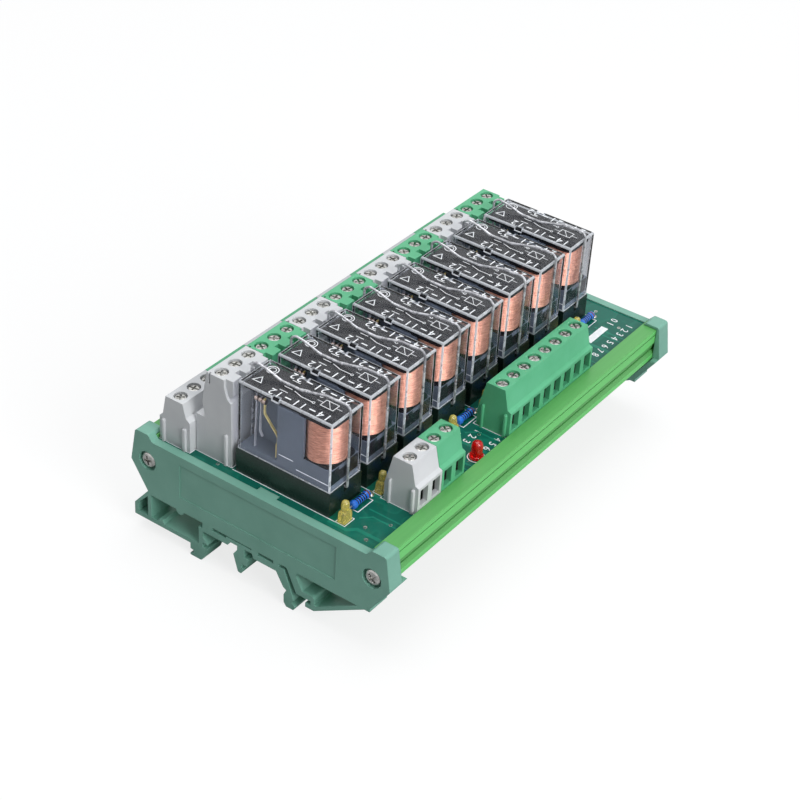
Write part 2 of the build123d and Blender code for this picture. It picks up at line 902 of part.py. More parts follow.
in_each_channel = {
    "upper_terminal_block": upper_block,
    "lower_terminal_block": lower_block,
    "relay_socket": relay_socket,
    "relay_cover": relay_cover,
    "relay_frame": relay_frame,
}
for name, make in in_each_channel.items():
    for channel in range(channel_count):
        pieces[f"{name}_{channel + 1}"] = make(channel)

grouped = {
    "relay_coils": relay_coil,
    "relay_armatures": relay_armature,
    "hold_down_clips": hold_down_clip,
    "resistors": resistor,
    "yellow_leds": yellow_led,
}
for name, make in grouped.items():
    pieces[name] = [make(channel) for channel in range(channel_count)]
pieces["relay_contacts"] = [
    spring for channel in range(channel_count) for spring in relay_contacts(channel)
]

os.makedirs("parts", exist_ok=True)
for name, piece in pieces.items():
    if isinstance(piece, list):
        solids = [solid for member in piece for solid in member.solids()]
    else:
        solids = piece.solids()
    shape = solids[0] if len(solids) == 1 else Compound(children=solids)
    export_step(shape, f"parts/{name}.step")
    print(name, len(solids))
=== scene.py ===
# %% [markdown]
# # A rail-mounted relay module, dressed for a studio picture
#
# The solid model of the module is already made and arrives as a fixed frame. This lesson adds
# what the solids leave out: finishes, rounded edges, windings, bent wire, screws with slots,
# printed lines, light and a camera. Everything is in metres, and Z is up.

# %% Load the frame
from math import cos, pi, radians, sin

import bmesh
import bpy
from mathutils import Matrix, Vector


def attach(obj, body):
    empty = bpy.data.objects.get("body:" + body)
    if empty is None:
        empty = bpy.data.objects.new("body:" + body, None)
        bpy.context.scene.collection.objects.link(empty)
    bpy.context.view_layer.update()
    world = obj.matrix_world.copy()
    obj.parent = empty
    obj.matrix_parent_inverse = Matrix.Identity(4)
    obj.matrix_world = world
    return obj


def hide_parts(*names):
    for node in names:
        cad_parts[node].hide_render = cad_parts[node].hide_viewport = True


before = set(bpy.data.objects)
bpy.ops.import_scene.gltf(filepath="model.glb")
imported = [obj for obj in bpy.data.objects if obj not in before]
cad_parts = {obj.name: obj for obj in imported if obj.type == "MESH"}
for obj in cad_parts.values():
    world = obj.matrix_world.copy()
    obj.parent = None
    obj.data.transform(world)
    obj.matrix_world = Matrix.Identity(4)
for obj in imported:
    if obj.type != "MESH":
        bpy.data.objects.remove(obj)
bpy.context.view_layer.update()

MM = 0.001
print("frame loaded with", len(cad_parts), "nodes")

# %% [markdown]
# ## Camera
#
# The camera was fitted to points of known size: the screws of the terminal rows stand 5.08 mm
# apart. A long lens far away keeps the edges of the module nearly parallel, as in a product
# photograph. The camera's axes are worked out from three angles, so its view can be read as
# numbers and not as a matrix.

# %% Camera
def new_object(name, data):
    """Object that holds this data, in the scene."""
    made = bpy.data.objects.new(name, data)
    bpy.context.collection.objects.link(made)
    return made


def camera_axes(turn, tilt, roll):
    """Right, up and back vectors of a camera from its turn, tilt and roll in degrees."""
    turn, tilt, roll = radians(turn), radians(tilt), radians(roll)
    back = Vector((sin(turn) * cos(tilt), -cos(turn) * cos(tilt), sin(tilt)))
    level_right = (-back).cross(Vector((0, 0, 1))).normalized()
    level_up = level_right.cross(-back)
    right = cos(roll) * level_right + sin(roll) * level_up
    up = cos(roll) * level_up - sin(roll) * level_right
    return right, up, back


camera_place = Vector((-351.8, -230.4, 322.1)) * MM
camera_data = bpy.data.cameras.new("camera")
camera_data.lens = 85.39
camera_data.sensor_width = 36
camera_data.clip_start = 0.01
camera_angles = (-56.269, 35.497, 3.929)
camera = new_object("camera", camera_data)
camera_turn = Matrix(camera_axes(*camera_angles)).transposed().to_4x4()
camera.matrix_world = Matrix.Translation(camera_place) @ camera_turn
bpy.context.scene.camera = camera
print("camera is", round(camera_place.length * 1000), "mm from the module's middle")

# %% [markdown]
# ## Node helpers
#
# Every finish is a Principled shader with a few nodes in front of it. Colours are written as
# they look on a screen, from 0 to 255, and changed to the linear numbers that the shader wants.
# Textures take Object coordinates, so a grain keeps its real size on every piece. `feed` joins
# the nodes: it links an input to another node's socket, or sets it to a value.

# %% Helpers for finishes
finishes = {}
noise_low, noise_high = 0.3, 0.7


def linear(red, green, blue):
    """Linear colour, with alpha, of a screen colour given from 0 to 255."""
    parts = []
    for value in (red, green, blue):
        value /= 255
        parts.append(value / 12.92 if value <= 0.04045 else ((value + 0.055) / 1.055) ** 2.4)
    return (*parts, 1.0)


def feed(tree, node, inputs):
    """Node whose inputs are each linked to a socket or set to a value."""
    for name, value in inputs.items():
        if isinstance(value, bpy.types.NodeSocket):
            tree.links.new(value, node.inputs[name])
        else:
            node.inputs[name].default_value = value
    return node


def add_node(tree, kind, inputs=None):
    """New node of a kind, with its inputs fed."""
    return feed(tree, tree.nodes.new(kind), inputs or {})


def new_finish(name):
    """Node tree, Principled shader and texture coordinates of a new material."""
    finishes[name] = bpy.data.materials.new(name)
    finishes[name].use_nodes = True
    tree = finishes[name].node_tree
    coords = add_node(tree, "ShaderNodeTexCoord").outputs["Object"]
    return tree, tree.nodes["Principled BSDF"], coords


def noise(tree, coords, size_mm, detail, stretch=(1, 1, 1)):
    """Noise whose lumps are about size_mm across."""
    mapping = add_node(tree, "ShaderNodeMapping", {"Vector": coords, "Scale": stretch})
    texture = add_node(tree, "ShaderNodeTexNoise", {
        "Vector": mapping.outputs["Vector"], "Scale": 1 / (size_mm * MM), "Detail": detail,
    })
    return texture.outputs["Fac"]


def ramp(tree, source, stops):
    """Colour ramp fed by source, with (position, colour) stops."""
    node = add_node(tree, "ShaderNodeValToRGB", {"Fac": source})
    elements = node.color_ramp.elements
    while len(elements) < len(stops):
        elements.new(0.5)
    for element, (position, colour) in zip(elements, stops):
        element.position = position
        element.color = colour
    return node.outputs["Color"]


def to_range(tree, source, low, high):
    """Number from low to high as source goes over its usual range."""
    node = add_node(tree, "ShaderNodeMapRange", {
        "Value": source, "From Min": noise_low, "From Max": noise_high,
        "To Min": low, "To Max": high,
    })
    return node.outputs["Result"]


def maths(tree, operation, *values):
    """Result of an operation on sockets and numbers."""
    node = add_node(tree, "ShaderNodeMath")
    node.operation = operation
    return feed(tree, node, dict(enumerate(values))).outputs["Value"]


def grain(tree, source, depth_mm, strength, rounded_mm=0.0):
    """Normal roughened by source, over edges softened by rounded_mm."""
    inputs = {"Height": source, "Distance": depth_mm * MM, "Strength": strength}
    if rounded_mm:
        soft = add_node(tree, "ShaderNodeBevel", {"Radius": rounded_mm * MM})
        inputs["Normal"] = soft.outputs["Normal"]
    return add_node(tree, "ShaderNodeBump", inputs).outputs["Normal"]


def by_ray(tree, output, ray, others, chosen, share=1.0):
    """Let the output show chosen to one kind of ray, in this share, and others to the rest."""
    factor = add_node(tree, "ShaderNodeLightPath").outputs[ray]
    if share < 1:
        factor = maths(tree, "MULTIPLY", factor, share)
    mix = add_node(tree, "ShaderNodeMixShader", {"Fac": factor, 1: others, 2: chosen})
    feed(tree, tree.nodes[output], {"Surface": mix.outputs["Shader"]})


def moulded(name, colour, shade, roughness, rounded, patch_mm=9.0, fleck_mm=0.35, specular=0.5):
    """Moulded plastic: slow colour drift, fine satin grain and softened edges."""
    tree, shader, coords = new_finish(name)
    drift, fleck = noise(tree, coords, patch_mm, 4), noise(tree, coords, fleck_mm, 2)
    feed(tree, shader, {
        "Base Color": ramp(tree, drift, [(0.35, linear(*shade)), (0.65, linear(*colour))]),
        "Roughness": to_range(tree, fleck, roughness - 0.05, roughness + 0.08),
        "Normal": grain(tree, fleck, 0.02, 0.5, rounded),
        "Specular IOR Level": specular,
        "IOR": 1.5,
    })


print("helpers for finishes are ready")

# %% [markdown]
# ## Finishes of the plastics
#
# The end plates are a dusty green moulding, and the carrier between them is a brighter extruded
# green. Both are satin. The carrier was pulled through a die, so its grain is drawn out along X.
# Each finish takes its lighter and its darker colour, its roughness and how far edges are soft.

# %% Plastics
moulded("end_plate_green", (115, 166, 149), (108, 159, 142), 0.45, 0.3)
moulded("terminal_grey", (200, 202, 204), (193, 195, 198), 0.4, 0.15)
moulded("terminal_green", (86, 172, 128), (76, 163, 118), 0.38, 0.15)
moulded("socket_dark", (22, 40, 34), (16, 32, 27), 0.3, 0.15)
moulded("relay_dark", (99, 108, 121), (92, 101, 113), 0.45, 0.1)
moulded("relay_black", (20, 21, 25), (15, 16, 19), 0.6, 0.0, specular=0.2)
# Flat black that paints the shade deep inside the wire entries.
moulded("entry_shade_black", (12, 12, 13), (8, 8, 9), 0.8, 0.0)
moulded("resistor_blue", (44, 116, 212), (34, 100, 198), 0.12, 0.1)
moulded("ring_dark", (30, 24, 34), (22, 18, 26), 0.2, 0.0)
moulded("ring_brown", (120, 66, 40), (104, 54, 32), 0.2, 0.0)
# White ink for the print; the same finish paints the highlights on the relay bases' ledges.
moulded("white_ink_and_highlight", (240, 242, 244), (222, 226, 230), 0.5, 0.0, 1.5, 0.2)


def extruded(name, colour, shade):
    """Extruded plastic with faint drawn lines along its length."""
    tree, shader, coords = new_finish(name)
    drawn = noise(tree, coords, 0.6, 3, (0.02, 1, 1))
    feed(tree, shader, {
        "Base Color": ramp(tree, drawn, [(0.3, linear(*shade)), (0.7, linear(*colour))]),
        "Roughness": to_range(tree, drawn, 0.34, 0.46),
        "Normal": grain(tree, drawn, 0.03, 0.5, 0.1),
        "IOR": 1.5,
    })


extruded("carrier_green", (88, 162, 88), (81, 155, 82))
# Lighter copy of the carrier green: painted light on the outer side faces.
extruded("carrier_side", (106, 200, 110), (99, 192, 103))
print(len(finishes), "plastics made")

# %% [markdown]
# ## Circuit board
#
# The board is dark green solder mask over copper: smooth, glossy, and slightly lighter where
# tracks run under it. Broad noise, cut into three tones, stands for the copper areas.

# %% Solder mask
def solder_mask(name, dark, light, middle):
    """Glossy green lacquer with faint copper areas under it."""
    tree, shader, coords = new_finish(name)
    areas, weave = noise(tree, coords, 7, 1), noise(tree, coords, 0.5, 2)
    tones = [(0.46, linear(*dark)), (0.5, linear(*light)), (0.56, linear(*middle))]
    feed(tree, shader, {
        "Base Color": ramp(tree, areas, tones),
        "Roughness": to_range(tree, weave, 0.1, 0.18),
        "Normal": grain(tree, areas, 0.02, 0.3),
        "IOR": 1.33,
    })


solder_mask("board_green", (14, 92, 78), (22, 106, 88), (18, 98, 83))
solder_mask("track_green", (26, 118, 98), (32, 126, 104), (28, 120, 100))
print("solder mask made")

# %% [markdown]
# ## Clear plastics
#
# The relay covers are clear polycarbonate. A refracting shader bends what is behind it, but
# lamps would then hardly reach the parts inside, so rays that carry shadow pass through a
# slightly tinted Transparent shader. Faint dust and wiping marks live in the roughness. The
# rounded edges of a thin clear moulding catch light from everywhere and shine white, so they
# get a whitish, less clear finish of their own that paints this highlight.

# %% Clear finishes
def clear(name, tint, shadow_tint, roughness=0.03, rounded=0.0, through=1.0, bending=1.49):
    """Clear moulded plastic that lets lamplight through."""
    tree, shader, coords = new_finish(name)
    wiped, waves = noise(tree, coords, 3, 3), noise(tree, coords, 6, 1)
    feed(tree, shader, {
        "Base Color": linear(*tint),
        "Transmission Weight": through,
        "IOR": bending,
        "Roughness": to_range(tree, wiped, roughness, roughness + 0.05),
        "Normal": grain(tree, waves, 0.05, 0.25, rounded),
    })
    passing = add_node(tree, "ShaderNodeBsdfTransparent", {"Color": linear(*shadow_tint)})
    shaders = shader.outputs["BSDF"], passing.outputs["BSDF"]
    by_ray(tree, "Material Output", "Is Shadow Ray", *shaders)


clear("clear_cover", (246, 248, 252), (238, 238, 242), bending=1.25)
# Whitish, less clear finish that paints the highlights on the covers' rounded edges.
clear("edge_highlight_white", (214, 218, 224), (220, 222, 226), 0.25, 0.0, 0.4)
clear("led_yellow", (226, 214, 126), (224, 214, 126), 0.15, 0.1, 0.7)
clear("led_red", (224, 16, 12), (236, 50, 38), 0.06, 0.1, 0.7)
print("clear plastics made")

# %% [markdown]
# ## Metals
#
# Screws are zinc plated, the springs are brass or a grey alloy, and the windings are enamelled
# copper wire. Roughness and tone wander a little, so that nothing looks like a mirror. Thin
# springs and wires lose their own colour when they only mirror the room, so they are part metal
# and part matt.

# %% Metals
def metal(name, colour, shade, rough, size_mm=1.5, metallic=1.0, stretch=(1, 1, 1)):
    """Plated or bare metal with a wandering polish between two values of roughness."""
    tree, shader, coords = new_finish(name)
    worn = noise(tree, coords, size_mm, 4, stretch)
    feed(tree, shader, {
        "Base Color": ramp(tree, worn, [(0.3, linear(*shade)), (0.7, linear(*colour))]),
        "Roughness": to_range(tree, worn, *rough),
        "Normal": grain(tree, worn, 0.02, 0.4, 0.05),
        "Metallic": metallic,
    })


metal("screw_steel", (214, 214, 210), (158, 158, 156), (0.2, 0.36), 1.0)
metal("armature_steel", (92, 94, 100), (66, 68, 74), (0.3, 0.45))
metal("clip_steel", (216, 217, 222), (138, 139, 145), (0.22, 0.32), 2.0, 0.5)
metal("contact_brass", (250, 230, 160), (236, 210, 136), (0.3, 0.4), 6.0, 0.3)
metal("contact_silver", (236, 214, 202), (206, 180, 166), (0.15, 0.3))
metal("spring_grey", (196, 197, 203), (172, 173, 181), (0.45, 0.55), 6.0, 0.3)
metal("coil_copper", (232, 178, 154), (176, 121, 105), (0.36, 0.5), 1.6, 1.0, (1, 1, 6))
print("metals made, so there are", len(finishes), "finishes")

# %% [markdown]
# ## Put the finishes on the frame's own parts
#
# A solid whose shape is right keeps its mesh and only gets a better material. A node's name
# tells its finish slot, so one table is enough. Nodes that a finer piece replaces later are
# dressed here too, and then hidden.

# %% Dress the solids
slot_starts = {
    "end_plate_screws": "screw_steel", "terminal_screws": "screw_steel",
    "end_plate": "end_plate_green", "carrier": "carrier_green", "circuit": "board_green",
    "input_block_grey": "terminal_grey", "input_block_green": "terminal_green",
    "relay_socket": "socket_dark", "relay_cover": "clear_cover", "relay_frame": "relay_dark",
    "relay_coils": "coil_copper", "relay_armatures": "armature_steel",
    "relay_contacts": "contact_brass", "hold_down": "clip_steel", "resistors": "resistor_blue",
    "yellow_leds": "led_yellow", "red_led": "led_red",
}


def slot_of(node):
    """Finish slot of a node, by what the node is."""
    if "terminal_block" in node:
        return "terminal_grey" if int(node.split("_")[-1]) % 2 else "terminal_green"
    return next(slot for start, slot in slot_starts.items() if node.startswith(start))


for node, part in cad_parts.items():
    part.data.materials.clear()
    part.data.materials.append(finishes[slot_of(node)])
print("dressed", len(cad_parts), "solids")

# %% [markdown]
# ## Sizes that the pieces share
#
# Distances along the module are counted from the near end plate's outer face, as a maker would
# measure them, and `along` turns them into X. The finer pieces must sit exactly where the solids
# are, so these sizes repeat the ones the solids were built from. Rows of terminals begin at
# their starts, and each row of screws has its Y and the height of its blocks over the board.

# %% Shared sizes
module_length = 134.9
board_top = 29.7
channels = range(8)
channel_pitch = 15.24
terminal_pitch = 5.08
first_relay = 11.8
cover_top = 57.2
upper_start, lower_start = 5.6, 3.4
small_start, large_start = 20.078, 60.921
screw_rows = {"upper": (17.9, 25.4), "lower": (29.5, 14.0), "input": (-29.4, 14.2)}


def along(distance):
    """X in millimetres of a distance from the near end plate."""
    return distance - module_length / 2


def relay_x(channel):
    """X in millimetres of a relay's middle."""
    return along(first_relay + channel * channel_pitch)


print("relays stand at", [round(relay_x(channel), 2) for channel in channels])

# %% [markdown]
# ## Mesh helpers
#
# Nearly every piece is a skin stretched over a row of point rings: two rings make a prism, many
# round rings make a turned part, and rings along a path make a wire. One helper builds them
# all in a bmesh, and small ones describe the rings.

# %% Skins over rings
def add_rings(bm, rings, index=0, closed=False):
    """Skin over rings of points in millimetres, with ends unless it is closed."""
    made = [[bm.verts.new(Vector(point) * MM) for point in ring] for ring in rings]
    pairs = list(zip(made, made[1:]))
    if closed:
        pairs.append((made[-1], made[0]))
    else:
        for end in (made[0], made[-1]):
            bm.faces.new(end).material_index = index
    strips = []
    for low, high in pairs:
        strip = []
        for i, corner in enumerate(low):
            j = (i + 1) % len(low)
            strip.append(bm.faces.new((corner, low[j], high[j], high[i])))
            strip[-1].material_index = index
        strips.append(strip)
    return strips


def add_section(bm, section, low_x, high_x):
    """Run a closed (y, z) outline from low_x to high_x."""
    return add_rings(bm, [[(x, y, z) for y, z in section] for x in (low_x, high_x)])


def rectangle(low_x, low_y, high_x, high_y):
    """Corners of a rectangle, in order."""
    return [(low_x, low_y), (high_x, low_y), (high_x, high_y), (low_x, high_y)]


def add_box(bm, low, high):
    """Block between two opposite corners."""
    add_section(bm, rectangle(*low[1:], *high[1:]), low[0], high[0])


def add_turned(bm, centre, profile, steps=32, axis="Z", index=0):
    """Turned piece from (distance along the axis, radius) pairs."""
    rings = []
    for distance, radius in profile:
        ring = []
        for step in range(steps):
            angle = 2 * pi * (step + 0.5) / steps
            across, over = radius * cos(angle), radius * sin(angle)
            offset = {"X": (distance, across, over), "Y": (over, distance, across)}
            ring.append(Vector(centre) + Vector(offset.get(axis, (across, over, distance))))
        rings.append(ring)
    return add_rings(bm, rings, index)


def smoothed(mesh):
    """The mesh, smooth but for its sharp edges."""
    mesh.shade_smooth()
    mesh.set_sharp_from_angle(angle=radians(smooth_below))
    return mesh


def new_mesh(name, bm, *looks):
    """Mesh of a bmesh, with outward faces, its finishes and smooth curved parts."""
    bmesh.ops.recalc_face_normals(bm, faces=bm.faces)
    mesh = bpy.data.meshes.new(name)
    bm.to_mesh(mesh)
    bm.free()
    for look in looks:
        mesh.materials.append(finishes[look])
    return smoothed(mesh)


def place(name, mesh, nodes=(), at=(0, 0, 0)):
    """Piece of the module that rides with the frame and stands for its nodes."""
    piece = new_object(name, mesh)
    piece.location = Vector(at) * MM
    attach(piece, "root")
    if nodes:
        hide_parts(*nodes)


def build(name, bm, looks, nodes=()):
    """Place the piece that a bmesh describes, with these finishes, and give its mesh."""
    mesh = new_mesh(name, bm, *looks.split())
    place(name, mesh, nodes)
    return mesh


smooth_below = 20
print("mesh helpers are ready")

# %% [markdown]
# ## Cutting and joining
#
# Wells, wire entries and screw slots are cut with the Boolean modifier, because that is how a
# mould or a mill makes them: a plain body minus a plain tool. A Bevel modifier then rounds every
# sharp edge, and the result is read back as one clean mesh.

# %% Carving
def read_back(thing, *helpers):
    """Mesh of an object as its modifiers or its text make it; the objects are removed."""
    graph = bpy.context.evaluated_depsgraph_get()
    mesh = bpy.data.meshes.new_from_object(thing.evaluated_get(graph))
    for used in (thing, *helpers):
        bpy.data.objects.remove(used)
    return mesh


def carved(name, body, tools, edge_mm, segments=2):
    """Mesh of body after (operation, tool mesh) steps, with its edges rounded."""
    work, helpers = new_object(name, body), []
    for operation, tool in tools:
        helper = new_object(name + "_tool", tool)
        step = work.modifiers.new(operation, "BOOLEAN")
        step.operation, step.solver, step.object = operation, "EXACT", helper
        helpers.append(helper)
    if edge_mm:
        soft = work.modifiers.new("edges", "BEVEL")
        soft.width, soft.segments = edge_mm * MM, segments
        soft.limit_method, soft.angle_limit = "ANGLE", radians(smooth_below)
    mesh = read_back(work, *helpers)
    mesh.name = name
    return smoothed(mesh)


def add_copy(bm, mesh, matrix):
    """Add a moved copy of a mesh."""
    start = len(bm.verts)
    bm.from_mesh(mesh)
    bm.verts.ensure_lookup_table()
    bmesh.ops.transform(bm, matrix=matrix, verts=bm.verts[start:])


print("carving is ready")

# %% [markdown]
# ## Carrier
#
# The carrier is one extrusion, so its skin is an outline run along X: slots for the board at the
# top, and a fine line, a shallow recess and a narrow groove in each side. The outer side faces
# get a lighter green that paints the light falling on them, and the lips and flanks keep the
# duller green, so there are two finishes.

# %% Carrier
carrier_outline = [
    (38.7, 21.0), (39.0, 21.3), (39.0, 22.9), (38.3, 23.9), (37.3, 24.0), (37.3, 24.45),
    (38.3, 24.55), (38.3, 26.3), (39.0, 26.5), (39.0, 29.1), (38.3, 29.1), (38.3, 29.4),
    (39.0, 29.4), (39.0, 30.7), (38.8, 30.9), (34.5, 30.9), (34.5, 29.8), (36.1, 29.8),
    (36.1, 28.1), (33.2, 28.1), (33.2, 23.3), (32.7, 22.8),
]
other_side = [(-y, z) for y, z in reversed(carrier_outline)]
carrier = bmesh.new()
strips = add_section(carrier, carrier_outline + other_side, along(2.4), along(132.5))
# The outer side faces take the lighter green that paints the light on them.
for face in strips[0]:
    if min(abs(corner.co.y) for corner in face.verts) > 38.9 * MM:
        face.material_index = 1
carrier_looks = "carrier_green carrier_side"
build("carrier_skin", carrier, carrier_looks, ["carrier_profile"])
print("carrier skin has", len(strips[0]), "long faces")

# %% [markdown]
# ## Terminal blocks
#
# Each block is one moulding. Its side view is an outline run along X. Rounded ribs stand
# on one cheek and grooves for them lie in the other, round wells open over the screws, and
# square entries take the wires. All blocks of a row share one carved mesh, once in each colour.

# %% Shape of a block
well_radius, well_depth = 1.8, 3.0
entry_width, entry_height, entry_depth = 3.2, 5.0, 6.5
rib_reach, rib_root = 0.7, 0.3


def add_rib(bm, x, low_y, high_y, height):
    """Upright rib with two round corners and a domed top, reaching out towards -X."""
    corner = 0.25
    rings = []
    for level, inset in ((0.0, 0.0), (height - 0.35, 0.0), (height - 0.1, 0.08), (height, 0.25)):
        near, far = low_y + inset, high_y - inset
        front = x - rib_reach + inset
        ring = [(x + rib_root, near, level)]
        for middle, start in ((near + corner, 0), (far - corner, 1)):
            for step in range(4):
                angle = (start + step / 3) * pi / 2
                along_x, along_y = corner * sin(angle), corner * cos(angle)
                ring.append((front + corner - along_x, middle - along_y, level))
        ring.append((x + rib_root, far, level))
        rings.append(ring)
    add_rings(bm, rings)


def block_mesh(name, section, poles, screw_y, height, ribs, entry_y, entry_z, extra=None):
    """Terminal block at the origin, from its outline, ribs, wells and entries."""
    length = poles * terminal_pitch - 0.1
    body, joined, cut = bmesh.new(), bmesh.new(), bmesh.new()
    add_section(body, section, 0, length)
    for low_y, high_y, rib_height in ribs:
        add_rib(joined, 0, low_y, high_y, rib_height)
        groove = (length - rib_reach - 0.1, low_y - 0.1, -0.5)
        add_box(cut, groove, (length + 0.5, high_y + 0.1, rib_height))
    inward = entry_depth if entry_y < 0 else -entry_depth
    outward = -0.5 if entry_y < 0 else 0.5
    low_y, high_y = sorted((entry_y + outward, entry_y + inward))
    for pole in range(poles):
        x = (pole + 0.5) * terminal_pitch
        well = [(height - well_depth, well_radius), (height + 0.5, well_radius)]
        add_turned(cut, (x, screw_y, 0), well)
        half = entry_width / 2
        add_box(cut, (x - half, low_y, entry_z), (x + half, high_y, entry_z + entry_height))
        if extra:
            extra(joined, cut, x)
    tools = [("UNION", new_mesh("ribs", joined)), ("DIFFERENCE", new_mesh("cuts", cut))]
    return carved(name, new_mesh(name, body), tools, 0.1)


print("block shapes are ready")

# %% [markdown]
# The tall upper block leans over the low one: its wires enter above the lower row. Every pole
# has a round-shouldered bulge on the relay side, and the near cheek has a short saw cut where a
# marker strip can be clipped in.

# %% Upper blocks
upper_section = [
    (12.4, 0), (12.8, 19.2), (14.1, 20.2), (15.1, 23.2), (15.1, 25.4), (20.7, 25.4),
    (22.1, 16.0), (21.3, 12.3), (21.3, 11.5), (24.1, 11.5), (24.1, 0),
]
bulge_section = [(15.4, 25.4), (12.9, 25.4), (12.9, 21.0), (14.1, 19.8), (15.4, 19.8)]


def add_bulge(joined, cut, x):
    """Bulge on the relay side of a pole, and the saw cut beside the first one."""
    add_section(joined, bulge_section, x - 1.7, x + 1.7)
    if x < terminal_pitch:
        add_box(cut, (-0.5, 19.5, 22.2), (0.6, 20.0, 26.0))


upper_ribs = [(13.7, 14.6, 9.4)]
upper_mesh = block_mesh(
    "upper_terminals", upper_section, 3, *screw_rows["upper"], upper_ribs, 24.1, 16.8, add_bulge
)
print("upper block has", len(upper_mesh.polygons), "faces")

# %% Lower and input blocks
lower_section = [
    (24.3, 0), (24.3, 9.0), (25.6, 10.0), (26.7, 14.0), (32.3, 14.0), (33.3, 8.2),
    (34.4, 7.2), (34.4, 0),
]
lower_ribs = [(25.4, 26.5, 6.9), (32.4, 33.3, 6.9)]
lower_mesh = block_mesh(
    "lower_terminals", lower_section, 3, *screw_rows["lower"], lower_ribs, 34.4, 2.0
)
input_section = [
    (-24.2, 0), (-24.2, 5.2), (-26.3, 14.2), (-32.0, 14.2), (-33.3, 8.4), (-34.4, 7.9),
    (-34.4, 0),
]
input_ribs = [(-26.3, -25.6, 7.2), (-33.4, -32.5, 7.2)]
input_meshes = {
    poles: block_mesh(
        f"input_terminals_{poles}", input_section, poles, *screw_rows["input"], input_ribs,
        -34.4, 2.0,
    )
    for poles in (2, 8)
}
print("lower block has", len(lower_mesh.polygons), "faces")

# %% [markdown]
# The blocks are now set down on the board in alternating colours, each in place of its solid.

# %% Set down the blocks
def coloured(mesh, colour):
    """Copy of a mesh in one of the terminal colours."""
    copy = mesh.copy()
    copy.materials.clear()
    copy.materials.append(finishes[colour])
    return copy


colours = ["terminal_grey", "terminal_green"]
for row, mesh, start in (("upper", upper_mesh, upper_start), ("lower", lower_mesh, lower_start)):
    in_colour = {colour: coloured(mesh, colour) for colour in colours}
    for channel in channels:
        colour = colours[channel % 2]
        at = (along(start + channel * channel_pitch), 0, board_top)
        node = f"{row}_terminal_block_{channel + 1}"
        place(f"{row}_terminals_{channel + 1}", in_colour[colour], [node], at)
for name, poles, start, colour in (
    ("grey", 2, small_start, "terminal_grey"),
    ("green_short", 2, small_start + 2 * terminal_pitch, "terminal_green"),
    ("green_long", 8, large_start, "terminal_green"),
):
    mesh = coloured(input_meshes[poles], colour)
    at = (along(start), 0, board_top)
    place(f"input_terminals_{name}", mesh, [f"input_block_{name}"], at)
print("set down", 2 * len(channels) + 3, "terminal blocks")

# %% [markdown]
# ## Clamping screws
#
# A clamping screw has a slot right across its head and a short cross slot, for either kind of
# driver. One head is turned and milled, and copies are turned a little differently in each
# well, as they are after wiring. Behind every wire entry sits the cage that the screw draws
# up, in flat black that paints the shade deep inside the entry.

# %% Terminal screws
def milled_head(profile, slots, steps=32):
    """Turned head with slots milled in turn, each by half sizes, floor height and soft edge."""
    head = bmesh.new()
    add_turned(head, (0, 0, 0), profile, steps)
    mesh = new_mesh("head", head, "screw_steel")
    for half_x, half_y, floor_z, edge_mm in slots:
        mill = bmesh.new()
        add_box(mill, (-half_x, -half_y, floor_z), (half_x, half_y, above_heads))
        mesh = carved("head", mesh, [("DIFFERENCE", new_mesh("mill", mill))], edge_mm, 1)
    return mesh


def pole_starts(start, count):
    """Distances at which the poles of a block or row begin."""
    return [start + number * terminal_pitch for number in range(count)]


above_heads = 5
clamp_profile = [(0, 1.6), (2.3, 1.65), (2.55, 1.5), (2.65, 1.25)]
clamp_head = milled_head(clamp_profile, [(2.2, 0.26, 2.0, 0.04), (0.26, 1.05, 1.9, 0)])

rows = {
    "upper": pole_starts(upper_start, 24),
    "lower": pole_starts(lower_start, 24),
    "input": pole_starts(small_start, 4) + pole_starts(large_start, 8),
}
for row, (y, height) in screw_rows.items():
    screws = bmesh.new()
    for number, start in enumerate(rows[row]):
        centre = Vector((along(start + terminal_pitch / 2), y, board_top + height - well_depth))
        turn = Matrix.Rotation(radians(35 + (number * 67) % 180), 4, "Z")
        add_copy(screws, clamp_head, Matrix.Translation(centre * MM) @ turn)
    node = "terminal_screws_" + row
    build(node + "_slotted", screws, "screw_steel", [node])
print("screws in", len(rows), "rows")

# %% Clamp cages
cages = bmesh.new()
cage_wall, cage_gap = 0.4, 0.05
entry_rows = {"upper": (21.3, 16.8, -1), "lower": (34.4, 2.0, -1), "input": (-34.4, 2.0, 1)}
for row, (entry_y, entry_z, inward) in entry_rows.items():
    low, high = board_top + entry_z + cage_gap, board_top + entry_z + entry_height - cage_gap
    for start in rows[row]:
        x, rings = along(start + terminal_pitch / 2), []
        for depth, inset in ((1.35, 0), (3.5, 0), (1.6, cage_wall), (1.35, cage_wall)):
            half = entry_width / 2 - cage_gap - inset
            outline = rectangle(x - half, low + inset, x + half, high - inset)
            rings.append([(a, entry_y + inward * depth, z) for a, z in outline])
        add_rings(cages, rings)
# Flat black cages: painted shade for the depth of each wire entry.
build("clamp_cages_in_shade", cages, "entry_shade_black")
print("clamp cages behind", sum(len(starts) for starts in rows.values()), "entries")

# %% [markdown]
# ## End plate screws
#
# Two pan-head screws hold each end plate to the carrier. The head is domed, with a cross
# recess, and the shank is threaded: rings of alternating radius stand for the thread, since
# only a little of it shows.

# %% Pan-head screws
def pan_head_screw():
    """Pan-head screw along +Z, its head's underside at the origin, its shank below."""
    profile = [(0, 2.1), (0.15, 2.35), (0.55, 2.35), (0.9, 2.15), (1.15, 1.75), (1.28, 1.1),
               (1.3, 0.4)]
    screw = bmesh.new()
    screw.from_mesh(milled_head(profile, [(1.35, 0.32, 0.45, 0), (0.32, 1.35, 0.45, 0.03)], 40))
    thread = [(0.0, 1.2)]
    for turn in range(16):
        start = -thread_pitch * turn
        thread += [(start - 0.2, 1.2), (start - 0.4, 1.44)]
    add_turned(screw, (0, 0, 0), [*thread, (-8.9, 1.0)], 20)
    return new_mesh("pan_head_screw", screw)


